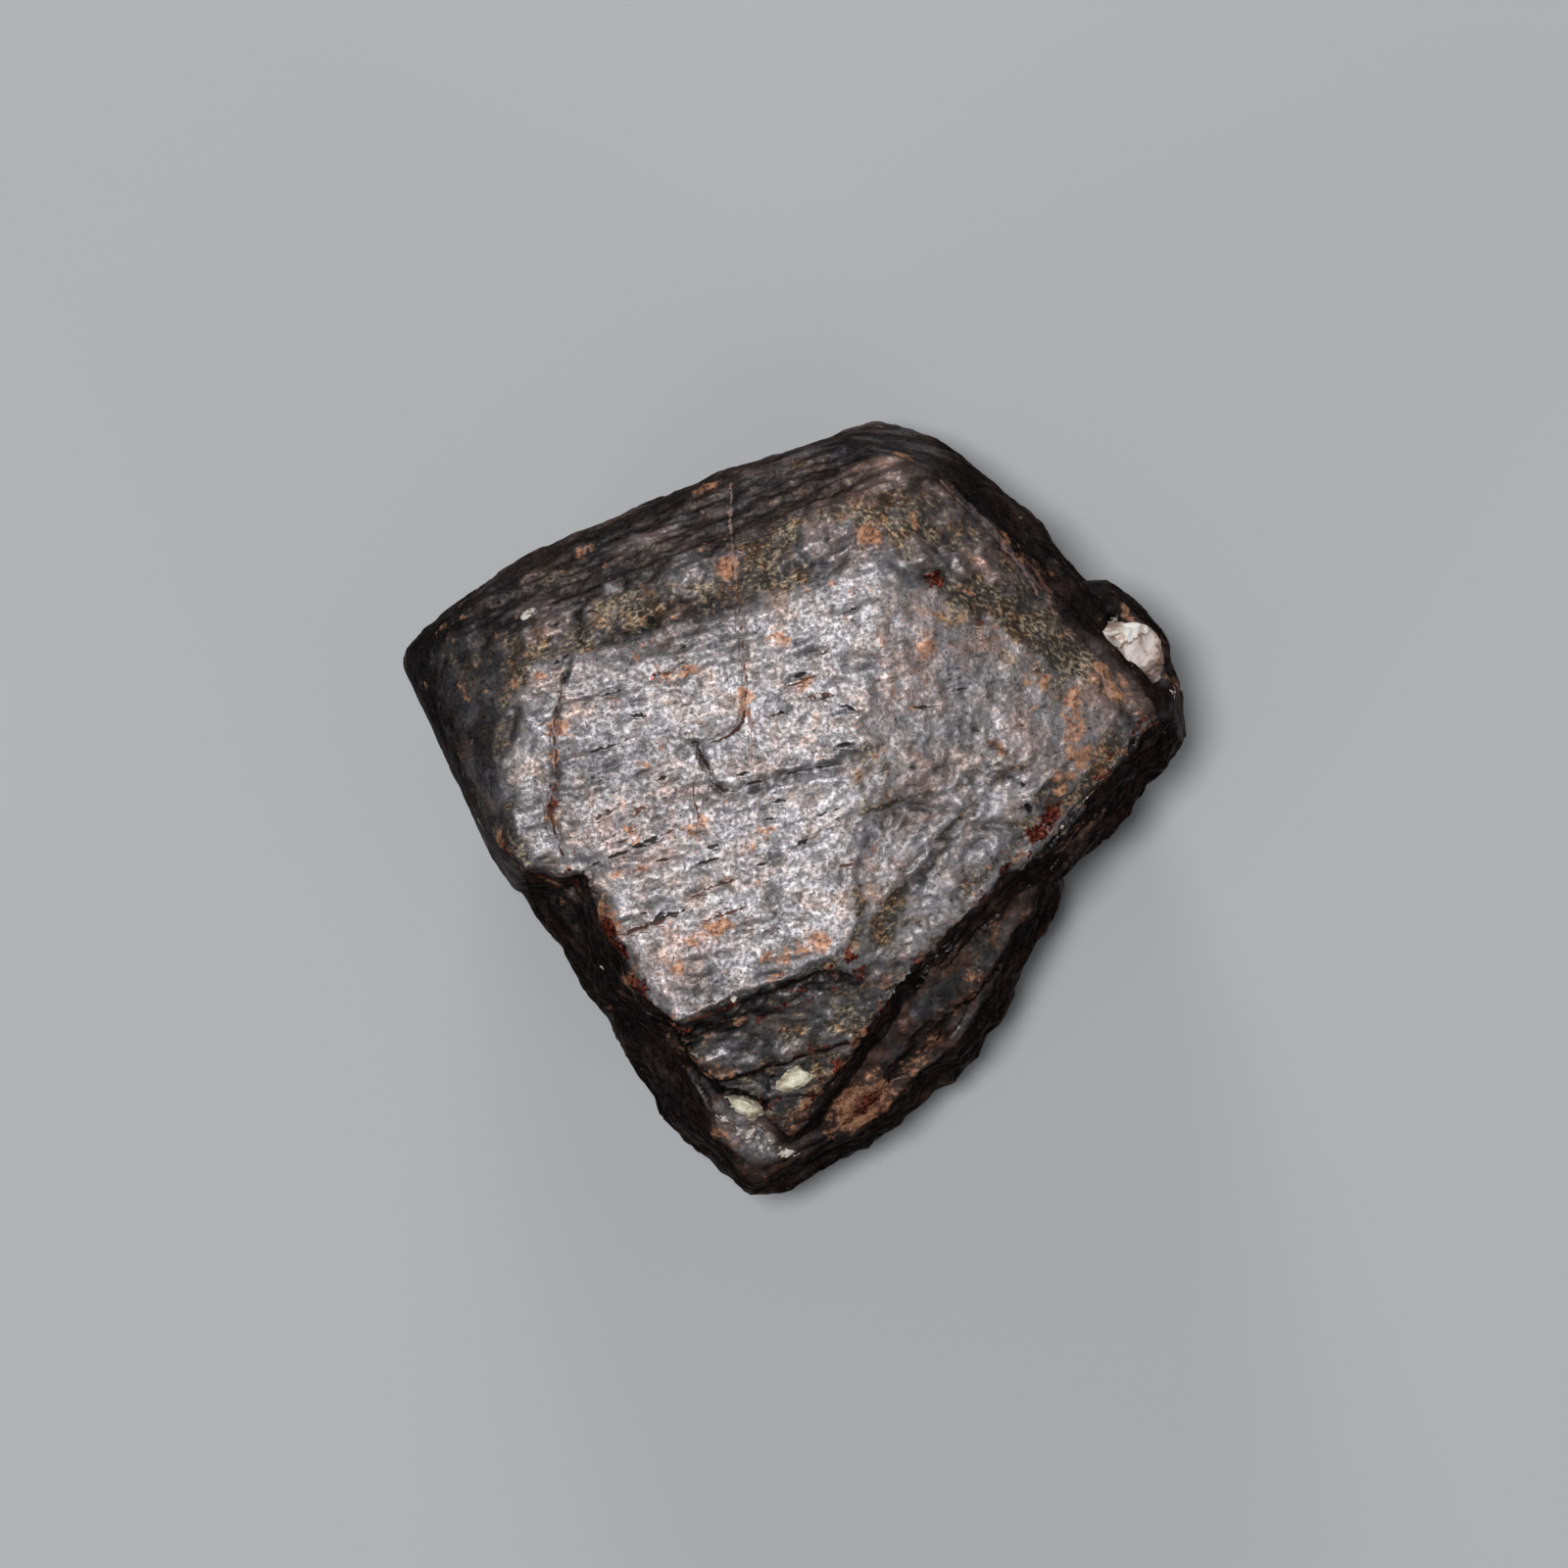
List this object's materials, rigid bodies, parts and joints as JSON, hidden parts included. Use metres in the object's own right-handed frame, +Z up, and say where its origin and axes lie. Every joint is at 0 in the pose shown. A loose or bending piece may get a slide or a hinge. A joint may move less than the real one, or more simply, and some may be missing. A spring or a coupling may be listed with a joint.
{
  "type": "rutile crystal",
  "caption": "Loose rutile crystal: a stubby knee-shaped twin, worn and striated on its growth faces, broken on its lower sides, with pale mineral grains, lying on its flat back.",
  "frame": {"origin": "middle of the crystal's footprint on the surface it lies on", "axes": "+Z up out of the broad front faces, +Y towards the knee of the twin, +X towards the quartz grain's corner"},
  "size_m": [0.0186, 0.0184, 0.0102],
  "materials": {
    "rutile": "dark brown to black, submetallic sheen, worn and finely pitted, rust and ochre stains, deep red glassy chips on broken edges",
    "quartz": "milky white, glassy, angular",
    "feldspar": "cream white, dull to pearly"
  },
  "bodies": {
    "root": {"rutile_crystal": "rutile", "quartz_grain": "quartz", "feldspar_grain_upper": "feldspar", "feldspar_grain_lower": "feldspar"}
  },
  "joints": []
}
